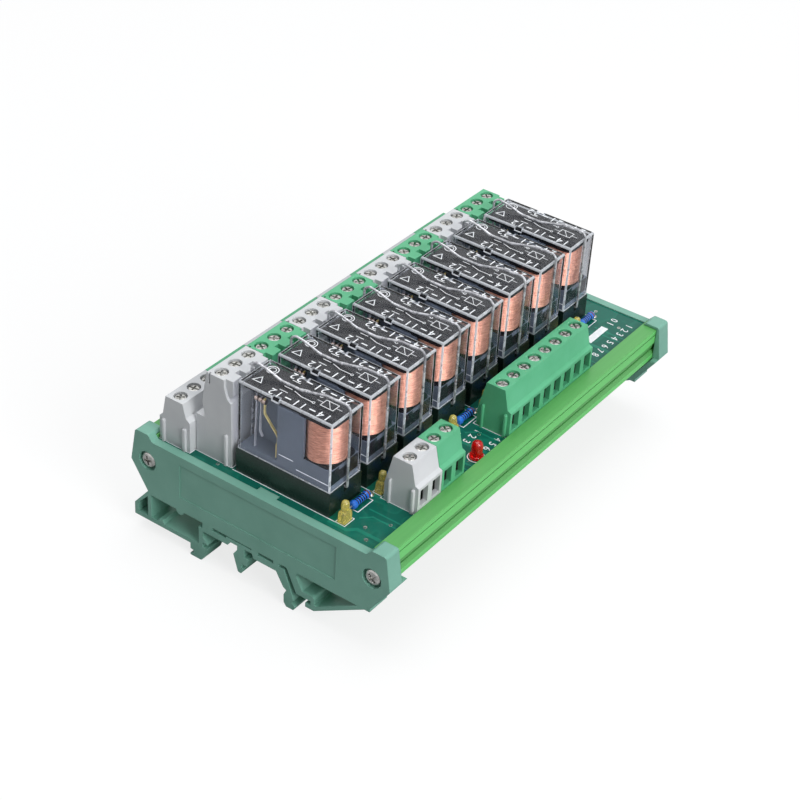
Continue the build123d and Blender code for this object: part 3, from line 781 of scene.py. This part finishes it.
thread_pitch = 0.55
pan_head = pan_head_screw()
plate_screws = bmesh.new()
plate_screw_y, plate_screw_z, seat_depth = 35.86, 23.4, 1.4
for side in (-1, 1):
    for y in (-plate_screw_y, plate_screw_y):
        seat = Vector((side * (module_length / 2 - seat_depth), y, plate_screw_z)) * MM
        aim = Matrix.Rotation(side * pi / 2, 4, "Y") @ Matrix.Rotation(0.5 + y, 4, "Z")
        add_copy(plate_screws, pan_head, Matrix.Translation(seat) @ aim)
build("plate_screws", plate_screws, "screw_steel", ["end_plate_screws"])
print("four pan-head screws")

# %% [markdown]
# ## Relay covers
#
# A cover is a thin clear box, open below. Rings of rounded rectangles run from the top over its
# rounded edge, down the outside, round the rim and up again inside, so the wall has a real
# thickness for the light to bend in. The rounded edges and the rim get a whitish finish that
# paints their highlight.

# %% Relay covers
def rounded(half_x, half_y, radius, steps=4):
    """Points of a rounded rectangle, one corner after the other."""
    points = []
    for corner, (side_x, side_y) in enumerate(((1, 1), (-1, 1), (-1, -1), (1, -1))):
        for step in range(steps + 1):
            angle = (corner + step / steps) * pi / 2
            x = side_x * (half_x - radius) + radius * cos(angle)
            y = side_y * (half_y - radius) + radius * sin(angle)
            points.append((x, y))
    return points


cover_half_x, cover_half_y, cover_middle_y = 6.2, 14.5, -3.8
cover_rim, cover_wall = 36.8, 0.6
cover_levels = [
    (cover_top, 0.5, 0.16), (57.08, 0.22, 0.21), (56.88, 0.07, 0.285), (56.6, 0, 0.32),
    (37.25, 0, 0.32), (cover_rim, 0, 0.32), (cover_rim, cover_wall, 0.2),
    (56.35, cover_wall, 0.2), (56.6, 0.9, 0.2),
]


def cover_mesh():
    """Clear cover with its middle at the origin's X, from levels, insets and corner radii."""
    rings = []
    for z, inset, radius in cover_levels:
        points = rounded(cover_half_x - inset, cover_half_y - inset, radius)
        rings.append([(x, y + cover_middle_y, z) for x, y in points])
    bm = bmesh.new()
    strips = add_rings(bm, rings)
    # Rounded edges, corners and rim take the finish that paints their highlight.
    highlight_faces = [face for strip in strips[:3] + strips[4:6] for face in strip]
    for strip in (strips[3], strips[6]):
        highlight_faces += [face for i, face in enumerate(strip) if i % 5 < 4]
    for face in highlight_faces:
        face.material_index = 1
    mesh, notches = new_mesh("cover", bm, "clear_cover", "edge_highlight_white"), bmesh.new()
    for low_x in (-7.0, 5.0):
        add_box(notches, (low_x, -2.0, 55.9), (low_x + 2.0, 0.3, 58.0))
    tool = new_mesh("notch", notches, "edge_highlight_white")
    return carved("clear_cover", mesh, [("DIFFERENCE", tool)], 0)


clear_box = cover_mesh()
for channel in channels:
    node = f"relay_cover_{channel + 1}"
    place(f"clear_cover_{channel + 1}", clear_box, [node], (relay_x(channel), 0, 0))
print("covers have", len(clear_box.polygons), "faces each")

# %% [markdown]
# ## Inside the relays
#
# The winding is fine wire laid turn on turn, so its side is a column of small ridges between
# two dark flanges. Over it lies a dark bridge that carries the moving contacts, and this is why
# the print on the cover stands out so well. Thin white strips along the moulded base's sides
# paint the highlights on the edges of its ledges.

# %% Windings and mouldings
coil_y, coil_low, coil_high = -12.2, 43.2, 55.0
turns = 28
windings, flanges, bridges, ledge_highlight_strips = bmesh.new(), bmesh.new(), bmesh.new(), bmesh.new()
for channel in channels:
    x = relay_x(channel)
    pitch = (coil_high - coil_low) / turns
    profile = [(0.0, 4.9)]
    for turn in range(turns):
        for part, radius in ((0.2, 5.22), (0.5, 5.3), (0.8, 5.22), (1.0, 5.08)):
            profile.append(((turn + part) * pitch, radius))
    add_turned(windings, (x, coil_y, coil_low), profile, 40)
    for low, high in ((42.9, 43.2), (55.0, 55.4)):
        points = rounded(5.35, 5.35, 1.6)
        add_rings(flanges, [[(x + a, coil_y + b, z) for a, b in points] for z in (low, high)])
    points = rounded(5.25, 13.6, 0.8)
    bridge = [(55.45, 0.0), (56.1, 0.0), (56.3, 0.3)]
    add_rings(bridges, [
        [(x + a * (1 - inset / 5), cover_middle_y + b * (1 - inset / 13), z) for a, b in points]
        for z, inset in bridge
    ])
    front = [(x - 5.4, 38.4), (x + 5.4, 38.4), (x + 5.4, 42.7), (x + 2.2, 42.7), (x + 2.2, 41.6),
             (x - 2.2, 41.6), (x - 2.2, 42.7), (x - 5.4, 42.7)]
    add_rings(flanges, [[(a, y, z) for a, z in front] for y in (-17.55, -17.63)])
    # Thin white strips: painted highlights on the edges of the base's ledges.
    for side in (-1, 1):
        low_x, high_x = sorted((x + side * 5.5, x + side * 5.58))
        add_box(ledge_highlight_strips, (low_x, -17.5, 38.55), (high_x, -7.5, 38.75))
        add_box(ledge_highlight_strips, (low_x, -6.5, 40.6), (high_x, -2.0, 40.8))
build("coil_windings", windings, "coil_copper", ["relay_coils"])
build("coil_flanges", flanges, "relay_black")
build("contact_bridges", bridges, "relay_black", ["relay_armatures"])
build("base_ledge_highlights", ledge_highlight_strips, "white_ink_and_highlight")
print(turns, "turns of wire show on each of", len(channels), "coils")

# %% [markdown]
# Contact springs are strips of sheet metal with bends that have a radius, and a rivet near the
# tip. `eased` rounds the corners of a path; it serves the springs here and the wires below.

# %% Contact springs
def eased(path, cut):
    """Path whose corners are rounded, beginning this far from each corner."""
    steps = 4
    points = [path[0]]
    for before, corner, after in zip(path, path[1:], path[2:]):
        start = corner + (before - corner).normalized() * cut
        end = corner + (after - corner).normalized() * cut
        for step in range(steps + 1):
            share = step / steps
            points.append(start.lerp(corner, share).lerp(corner.lerp(end, share), share))
    return [*points, path[-1]]


def headings(path):
    """Direction of a path at each of its points."""
    last = len(path) - 1
    return [(path[min(i + 1, last)] - path[max(i - 1, 0)]).normalized() for i in range(last + 1)]


def add_strip(bm, path, low_x, high_x, thickness, index):
    """Sheet-metal strip along a path of (y, z) points."""
    rings = []
    for point, way in zip(path, headings(path)):
        out = Vector((-way.y, way.x)) * thickness / 2
        left, right = point + out, point - out
        rings.append([(low_x, *left), (low_x, *right), (high_x, *right), (high_x, *left)])
    add_rings(bm, rings, index)


spring_paths = [
    [(-0.4, 8.6), (-0.4, 12.6), (-0.75, 13.2), (-0.75, 15.0), (3.5, 20.0), (3.6, 24.3)],
    [(4.2, 12.6), (5.0, 14.0), (4.8, 24.2)],
    [(6.6, 8.6), (6.35, 16.0), (6.15, 25.0)],
]
spring_looks = "contact_brass contact_silver spring_grey"
brass, silver, grey = range(3)
spring_half, rivet_height = 0.32, 23.3
rivet = [(-0.5, 0.35), (-0.42, 0.7), (0.42, 0.7), (0.5, 0.35)]
springs = bmesh.new()
for channel in channels:
    for side in (-1, 1):
        for number, path in enumerate(spring_paths):
            out, thickness, look = (4.1, 0.22, grey) if number else (4.28, 0.26, brass)
            x = relay_x(channel) + side * out
            line = eased([Vector((y, board_top + h)) for y, h in path], 0.45)
            add_strip(springs, line, x - spring_half, x + spring_half, thickness, look)
            rivet_at = (x, path[-1][0], board_top + rivet_height)
            add_turned(springs, rivet_at, rivet, 16, "Y", silver)
build("contact_springs", springs, spring_looks, ["relay_contacts"])
print("springs in", len(channels), "relays")

# %% [markdown]
# ## Hold-down wires
#
# A bent steel wire hooks into the socket at both ends and presses on the cover's middle. It is
# a round tube that follows the wire's bends, which are rounded as a bending tool leaves them.

# %% Hold-down wires
def add_wire(bm, path, radius, across, steps=12, index=0):
    """Round wire along a flat path, whose plane is square to across."""
    angles = [2 * pi * step / steps for step in range(steps)]
    add_rings(bm, [
        [point + radius * (cos(a) * across + sin(a) * way.cross(across)) for a in angles]
        for point, way in zip(path, headings(path))
    ], index)


wire_route = [
    (9.75, 35.5), (11.35, 35.5), (11.35, 58.35), (9.9, 59.55), (6.8, 59.05), (2.2, 57.65),
    (-4.3, 57.65), (-8.8, 58.75), (-11.6, 59.5), (-18.0, 59.7), (-18.95, 58.6), (-18.95, 35.5),
    (-17.35, 35.5),
]
wires, wire_radius = bmesh.new(), 0.36
for channel in channels:
    path = eased([Vector((relay_x(channel), y, z)) for y, z in wire_route], 0.7)
    add_wire(wires, path, wire_radius, Vector((1, 0, 0)))
wire_mesh = build("hold_down_wires", wires, "clip_steel", ["hold_down_clips"])
print("wires have", len(wire_mesh.polygons), "faces")

# %% [markdown]
# ## Resistors
#
# A film resistor is a rod with thicker caps, dipped in glossy blue lacquer, with painted rings.
# The whole body is turned from one profile, and the rings are strips of it in other colours.

# %% Resistors
resistor_y, lead_reach, lead_radius = -20.9, 4.6, 0.28
first_led = 7.15


def led_x(channel):
    """X in millimetres of a channel's indicator lamp."""
    return along(first_led + channel * channel_pitch)


resistor_shape = [
    (-3.5, 0.45), (-3.4, 0.8), (-3.1, 1.08), (-2.7, 1.15), (-2.2, 1.13), (-1.9, 1.0),
    *[(-1.55 + 0.4 * step, 0.96) for step in range(8)], (1.65, 0.98), (2.0, 1.08),
    (2.3, 1.15), (2.75, 1.15), (3.1, 1.08), (3.4, 0.8), (3.5, 0.45),
]
resistor_looks = "resistor_blue ring_dark ring_brown screw_steel"
dark, brown, bare = 1, 2, 3
rings_dark, rings_brown = (5, 7, 9, 11, 13), (16,)
resistors = bmesh.new()
for channel in channels:
    x, y, z = led_x(channel) + channel_pitch / 2, resistor_y, board_top + 1.25
    strips = add_turned(resistors, (x, y, z), resistor_shape, 32, "X")
    for index, chosen in ((dark, rings_dark), (brown, rings_brown)):
        for number in chosen:
            for face in strips[number]:
                face.material_index = index
    lead = [(-lead_reach, board_top), (-lead_reach, z), (lead_reach, z), (lead_reach, board_top)]
    path = eased([Vector((x + a, y, b)) for a, b in lead], 0.6)
    add_wire(resistors, path, lead_radius, Vector((0, 1, 0)), 10, bare)
build("film_resistors", resistors, resistor_looks, ["resistors"])
print("resistors have", len(rings_dark) + len(rings_brown), "painted rings each")

# %% [markdown]
# ## Indicator lamps
#
# The yellow lamps have a square foot and a round dome, the red one a flange and a larger dome.
# Both are cast around two steel posts, one of them with a cup for the glowing chip, and the
# posts show faintly through the coloured plastic.

# %% Indicator lamps
def add_posts(bm, x, y, spread, height):
    """Two posts inside a lamp: a plain one and one with a cup."""
    for middle, top in ((x - spread, height), (x + spread, height - cup_height)):
        low = (middle - 0.25, y - 0.2, board_top)
        add_box(bm, low, (middle + 0.25, y + 0.2, board_top + top))
    cup = [(height - cup_height, 0.3), (height - 0.2, 0.55), (height, 0.6)]
    add_turned(bm, (x + 0.1, y, board_top), cup, 16)


cup_height, led_y = 0.9, -22.05
yellow_lamps, posts = bmesh.new(), bmesh.new()
dome = [(2.6, 1.05), (5.1, 1.05), (5.55, 0.97), (5.9, 0.74), (6.12, 0.4), (6.2, 0.12)]
foot_rings = [(0.0, 1.65, 1.15), (0.5, 1.62, 1.13), (2.7, 1.5, 1.08), (3.05, 1.38, 1.0),
              (3.2, 1.2, 0.9)]
for channel in channels:
    x, foot, round_top = led_x(channel), bmesh.new(), bmesh.new()
    add_rings(foot, [
        [(x + a, led_y + b, board_top + z) for a, b in rounded(half_x, half_y, 0.25, 3)]
        for z, half_x, half_y in foot_rings
    ])
    add_turned(round_top, (x, led_y, board_top), dome, 24)
    lamp = carved("lamp", new_mesh("foot", foot), [("UNION", new_mesh("dome", round_top))], 0)
    yellow_lamps.from_mesh(lamp)
    add_posts(posts, x, led_y, 0.75, 2.9)
build("yellow_lamps", yellow_lamps, "led_yellow", ["yellow_leds"])

red_x, red_y = along(49.01), -32.4
red_lamp = bmesh.new()
red_shape = [
    (0.0, 1.8), (0.15, 1.9), (0.85, 1.9), (1.0, 1.8), (1.02, 1.5), (3.8, 1.5), (4.4, 1.36),
    (4.85, 1.02), (5.1, 0.6), (5.2, 0.15),
]
add_turned(red_lamp, (red_x, red_y, board_top), red_shape, 40)
build("red_lamp", red_lamp, "led_red", ["red_led"])
add_posts(posts, red_x, red_y, 0.7, 3.0)
build("lamp_posts", posts, "screw_steel")
print("nine lamps")

# %% [markdown]
# ## Printed lines
#
# White lacquer is screen printed on the board: outlines of the parts and brackets round the
# resistors. Each line is a very thin raised strip with mitred corners, so it is sharp from
# any side. Plain figures stand beside the input blocks.

# %% Lines and figures
ink_thickness = 0.03
board_figures, cover_figures = 3.0, 3.4


def add_line(bm, points, width, level, closed=False):
    """Printed line through (x, y) points in millimetres, with mitred corners."""
    points = [Vector(point) for point in points]
    rings = []
    for i, point in enumerate(points):
        ways = []
        if closed or i:
            ways.append((point - points[i - 1]).normalized())
        if closed or i + 1 < len(points):
            ways.append((points[(i + 1) % len(points)] - point).normalized())
        normals = [Vector((-way.y, way.x)) for way in ways]
        mitre = sum(normals, Vector((0, 0))).normalized()
        reach = mitre * width / 2 / mitre.dot(normals[0])
        left, right = point + reach, point - reach
        low, high = level - ink_thickness / 3, level + ink_thickness
        rings.append([(*left, low), (*right, low), (*right, high), (*left, high)])
    add_rings(bm, rings, closed=closed)


def ring_line(bm, x, y, radius, width, level, sides=28):
    """Printed circle, or any regular shape."""
    angles = [2 * pi * step / sides for step in range(sides)]
    points = [(x + radius * cos(angle), y + radius * sin(angle)) for angle in angles]
    add_line(bm, points, width, level, True)


figure_meshes = {}


def add_figure(bm, text, x, y, level, size, turn):
    """Plain printed figures, turned by an angle in degrees."""
    if text not in figure_meshes:
        curve = bpy.data.curves.new("figure", "FONT")
        curve.body, curve.size, curve.extrude = text, 1.0, 0.5
        curve.align_x, curve.align_y, curve.resolution_u = "CENTER", "CENTER", 3
        flat = read_back(new_object("figure", curve))
        joined = bmesh.new()
        joined.from_mesh(flat)
        bmesh.ops.remove_doubles(joined, verts=joined.verts, dist=1e-5)
        joined.to_mesh(flat)
        joined.free()
        figure_meshes[text] = flat
    spread = Matrix.Diagonal((size * MM, size * MM, ink_thickness * MM, 1))
    at = Matrix.Translation(Vector((x, y, level + ink_thickness / 3)) * MM)
    add_copy(bm, figure_meshes[text], at @ Matrix.Rotation(radians(turn), 4, "Z") @ spread)


print("ink is", ink_thickness, "mm thick")

# %% Print on the board
board_print = bmesh.new()
for channel in channels:
    x = relay_x(channel)
    add_line(board_print, [(x - 6.65, 11.8), (x - 6.65, -20.8)], 0.22, board_top)
    add_line(board_print, [(x + 6.65, -18.6), (x + 6.65, -19.6), (x + 3, -19.6)], 0.22, board_top)
    middle = led_x(channel) + channel_pitch / 2
    bracket = [(middle - 3.05, -21.1), (middle - 3.05, -22.65), (middle + 3.05, -22.65),
               (middle + 3.05, -21.1)]
    add_line(board_print, bracket, 0.24, board_top)
    x = led_x(channel)
    add_line(board_print, rectangle(x - 1.95, -23.5, x + 1.95, -20.6), 0.2, board_top, True)
for start, low_y, end, high_y, width in (
    (3.2, 24.2, 127.0, 34.5, 0.2), (5.4, 12.2, 127.6, 24.2, 0.2),
    (19.85, -34.5, 40.6, -23.5, 0.22), (60.7, -34.5, 101.7, -23.5, 0.22),
):
    outline = rectangle(along(start), low_y, along(end), high_y)
    add_line(board_print, outline, width, board_top, True)
ring_line(board_print, red_x, red_y, 2.3, 0.24, board_top)
label = [(along(113.6), -26.4), (along(123.0), -26.4)]
add_line(board_print, label, 2.2, board_top)
figure_rows = ((58.4, -26.5, 2.7, "123"), (58.8, -32.4, 2.5, "456"),
               (128.0, -31.3, 2.65, "12345678"), (128.0, -26.4, 2.3, "01"))
for start, y, step, figures in figure_rows:
    for number, figure in enumerate(figures):
        x = along(start - step * number)
        add_figure(board_print, figure, x, y, board_top, board_figures, 180)
build("board_print", board_print, "white_ink_and_highlight")
print("board is printed")

# %% [markdown]
# The print on the covers is a plain contact diagram: the coil as a box, two changeover
# contacts, and the pins numbered. A triangle and a ring stand at the end away from the coil.

# %% Print on the covers
cover_print = bmesh.new()
for side, pins in ((-1, ("14", "11", "12")), (1, ("24", "21", "22"))):
    x = side * 4.2
    for step, pin in enumerate(pins):
        for number, digit in enumerate(pin):
            y = -15.4 + 7.4 * step + 2.1 * number
            add_figure(cover_print, digit, x, y, cover_top, cover_figures, 90)
        if step < 2:
            add_line(cover_print, [(x, y + 1.7), (x, y + 3.5)], 0.4, cover_top)
add_line(cover_print, rectangle(-1.3, -14.6, 1.3, -10.8), 0.2, cover_top, True)
for line in ([(0, -16.4), (0, -14.6)], [(0, -10.8), (0, -9.0)], [(-1.3, -13.8), (1.3, -11.6)]):
    add_line(cover_print, line, 0.18, cover_top)
contact_lines = ([(1.6, -8.6), (1.6, -5.2), (0.8, -2.6)], [(0.7, 0.6), (0.7, -1.8)],
                 [(2.5, 0.6), (2.5, -1.8)])
for side in (-1, 1):
    for line in contact_lines:
        add_line(cover_print, [(side * x, y) for x, y in line], 0.2, cover_top)
    ring_line(cover_print, side * 1.6, -9.0, 0.35, 0.16, cover_top, 12)
triangle_y, mark_x = 7.0, 2.7
ring_line(cover_print, -mark_x, triangle_y, 1.5, 0.24, cover_top, 3)
ring_line(cover_print, mark_x, triangle_y, 1.55, 0.24, cover_top)
ring_line(cover_print, mark_x, triangle_y, 0.9, 0.2, cover_top)
print_mesh = new_mesh("cover_print", cover_print, "white_ink_and_highlight")
for channel in channels:
    place(f"cover_print_{channel + 1}", print_mesh, at=(relay_x(channel), 0, 0))
print("covers are printed")

# %% [markdown]
# ## Tracks and solder
#
# Under the solder mask the copper tracks stand up by a few hundredths of a millimetre and look
# a little lighter. Where a lead passes through the board there is a ring of bare solder.

# %% Tracks and solder
tracks, pads = bmesh.new(), bmesh.new()
track_level = board_top - 0.005
track_lines = (
    ([(-2.6, -19.0), (-2.6, -24.6), (-0.8, -26.4), (-0.8, -34.0)], 1.1),
    ([(3.0, -24.2), (5.4, -26.6), (5.4, -34.0)], 0.5), ([(7.4, -24.0), (7.4, -34.0)], 0.5),
)
pad = [(-0.01, 0.85), (0.06, 0.8), (0.2, 0.55), (0.3, 0.3)]
for channel in channels:
    x = led_x(channel)
    for line, width in track_lines:
        add_line(tracks, [(x + a, y) for a, y in line], width, track_level)
    middle = x + channel_pitch / 2
    for pad_x in (middle - lead_reach, middle + lead_reach):
        add_turned(pads, (pad_x, resistor_y, board_top), pad, 20)
hole = [(-0.01, 0.5), (0.035, 0.5), (0.035, 0.25), (-0.01, 0.25)]
hole_steps = 20
hole_angles = [2 * pi * step / hole_steps for step in range(hole_steps)]
for start, y in ((4.6, -30.5), (8.2, -27.5), (12.8, -31.8), (45.0, -25.2), (57.5, -27.5),
                 (104.5, -27.0), (110.0, -24.5), (125.5, -29.5), (128.6, -20.0), (4.4, 16.0)):
    x = along(start)
    add_rings(pads, [
        [(x + r * cos(a), y + r * sin(a), board_top + z) for z, r in hole] for a in hole_angles
    ], closed=True)
build("board_tracks", tracks, "track_green")
build("solder_pads", pads, "screw_steel")
print("tracks and pads lie on the board")

# %% [markdown]
# ## Floor and background
#
# The studio is a white sweep. For the camera, the floor is mostly its own white and only partly
# what the lamps give it, so it stays white and still keeps the soft shadow under the module.

# %% Floor
def white_floor(name, glow_share):
    """White floor that keeps a soft shadow."""
    tree, shader, _ = new_finish(name)
    camera_ray = add_node(tree, "ShaderNodeLightPath").outputs["Is Camera Ray"]
    whites = [(0.0, (0.4, 0.4, 0.4, 1)), (1.0, (0.88, 0.88, 0.88, 1))]
    feed(tree, shader, {"Base Color": ramp(tree, camera_ray, whites), "Roughness": 0.9})
    glow = add_node(tree, "ShaderNodeEmission", {"Color": (1, 1, 1, 1)})
    shaders = shader.outputs["BSDF"], glow.outputs["Emission"]
    by_ray(tree, "Material Output", "Is Camera Ray", *shaders, glow_share)


white_floor("studio_floor", 0.78)
floor_mesh = bpy.data.meshes.new("floor")
reach = 4.0
floor_corners = [(x, y, 0) for x, y in rectangle(-reach, -reach, reach, reach)]
floor_mesh.from_pydata(floor_corners, [], [(0, 1, 2, 3)])
floor_mesh.materials.append(finishes["studio_floor"])
floor = new_object("floor", floor_mesh)
print("floor is", 2 * reach, "m wide")

# %% [markdown]
# ## Light
#
# The top faces and the long input side are bright in the photograph, and the near end plate is a
# little darker. So a large key lamp stands on the input side, a broad box of light hangs
# overhead, and the world fills the shadows, more from above and from the far end than from the
# near end. The world shows white to the camera, to reflections and through the clear plastic.

# %% Lamps and world
def softbox(name, at, size, power):
    """Square area lamp that points at the module's middle."""
    data = bpy.data.lights.new(name, "AREA")
    data.shape, data.size, data.energy = "SQUARE", size, power
    lamp = new_object(name, data)
    lamp.location = at
    away = Vector(at) - Vector((0, 0, 0.03))
    lamp.rotation_euler = away.to_track_quat("Z", "Y").to_euler()


softbox("key", (-0.3, -1.05, 0.62), 0.6, 10.2)
softbox("overhead", (0.1, 0.1, 1.2), 0.9, 6.8)

world = bpy.data.worlds.new("studio")
world.use_nodes = True
tree = world.node_tree
direction = add_node(tree, "ShaderNodeTexCoord").outputs["Generated"]
parts = add_node(tree, "ShaderNodeSeparateXYZ", {"Vector": direction}).outputs
far_share = 0.35
height = maths(tree, "MULTIPLY_ADD", parts["X"], far_share, parts["Z"])
sky = ramp(tree, height, [(0.0, (0.03, 0.035, 0.04, 1)), (0.9, (0.66, 0.68, 0.7, 1))])
fill = feed(tree, tree.nodes["Background"], {"Color": sky, "Strength": 1.0})
white = add_node(tree, "ShaderNodeBackground", {"Color": (1, 1, 1, 1), "Strength": 1.0})
backgrounds = white.outputs["Background"], fill.outputs["Background"]
by_ray(tree, "World Output", "Is Diffuse Ray", *backgrounds)
bpy.context.scene.world = world
bpy.context.scene.view_settings.view_transform = "Standard"
print("two lamps and the world are lit")

# %% [markdown]
# ## End


print("the dressed scene is built")
